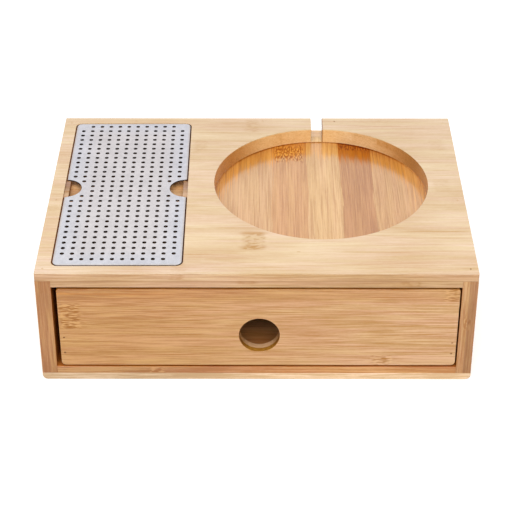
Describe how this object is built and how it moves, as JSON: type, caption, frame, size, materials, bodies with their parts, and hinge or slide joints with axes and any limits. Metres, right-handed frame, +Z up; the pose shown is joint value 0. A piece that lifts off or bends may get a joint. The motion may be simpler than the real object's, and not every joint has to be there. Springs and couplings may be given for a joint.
{
  "type": "bamboo drip tray",
  "caption": "Low bamboo box with a perforated steel drip grate let into its top, a round recess for a kettle base with a cord slot, and a full-width drawer with a finger hole.",
  "frame": {"origin": "centre of the base, on the surface that the tray stands on", "axes": "+X to the right along the width, -Y towards the drawer front, +Z up"},
  "size_m": [0.35, 0.255, 0.104],
  "materials": {
    "bamboo_top": "pale bamboo, clear satin lacquer, grain along the width",
    "bamboo_side": "bamboo, clear satin lacquer, grain upright",
    "bamboo_front": "warm bamboo, clear satin lacquer, grain along the width",
    "bamboo_floor": "bamboo strips of mixed tone, grain front to back",
    "bamboo_inside": "plain sanded bamboo",
    "stainless": "satin stainless sheet",
    "brad_steel": "dull steel brad"
  },
  "bodies": {
    "carcass": {"top_panel": "bamboo_top", "left_side_panel": "bamboo_side", "right_side_panel": "bamboo_side", "back_panel": "bamboo_side", "bottom_panel": "bamboo_top", "recess_floor_panel": "bamboo_floor", "brad_top_left_front": "brad_steel", "brad_top_left_middle": "brad_steel", "brad_top_left_rear": "brad_steel", "brad_top_right_front": "brad_steel", "brad_top_right_middle": "brad_steel", "brad_top_right_rear": "brad_steel", "brad_top_back_left": "brad_steel", "brad_top_back_centre": "brad_steel", "brad_top_back_inner_right": "brad_steel", "brad_top_back_right": "brad_steel", "brad_bottom_left_front": "brad_steel", "brad_bottom_left_middle": "brad_steel", "brad_bottom_left_rear": "brad_steel", "brad_bottom_right_front": "brad_steel", "brad_bottom_right_middle": "brad_steel", "brad_bottom_right_rear": "brad_steel", "brad_bottom_back_left": "brad_steel", "brad_bottom_back_right": "brad_steel"},
    "drawer": {"drawer_front": "bamboo_front", "drawer_left_side": "bamboo_inside", "drawer_right_side": "bamboo_inside", "drawer_back": "bamboo_inside", "drawer_bottom": "bamboo_inside", "brad_drawer_front_left_upper": "brad_steel", "brad_drawer_front_left_lower": "brad_steel", "brad_drawer_front_right_upper": "brad_steel", "brad_drawer_front_right_lower": "brad_steel", "brad_drawer_back_left_upper": "brad_steel", "brad_drawer_back_left_lower": "brad_steel", "brad_drawer_back_right_upper": "brad_steel", "brad_drawer_back_right_lower": "brad_steel"},
    "grate": {"drip_grate": "stainless"}
  },
  "joints": [
    {"name": "drawer_slide", "type": "slide", "parent": "carcass", "child": "drawer", "axis": [0, -1, 0], "range_m": [0, 0.205]},
    {"name": "grate_lift", "type": "slide", "parent": "carcass", "child": "grate", "axis": [0, 0, 1], "range_m": [0, 0.05]}
  ]
}
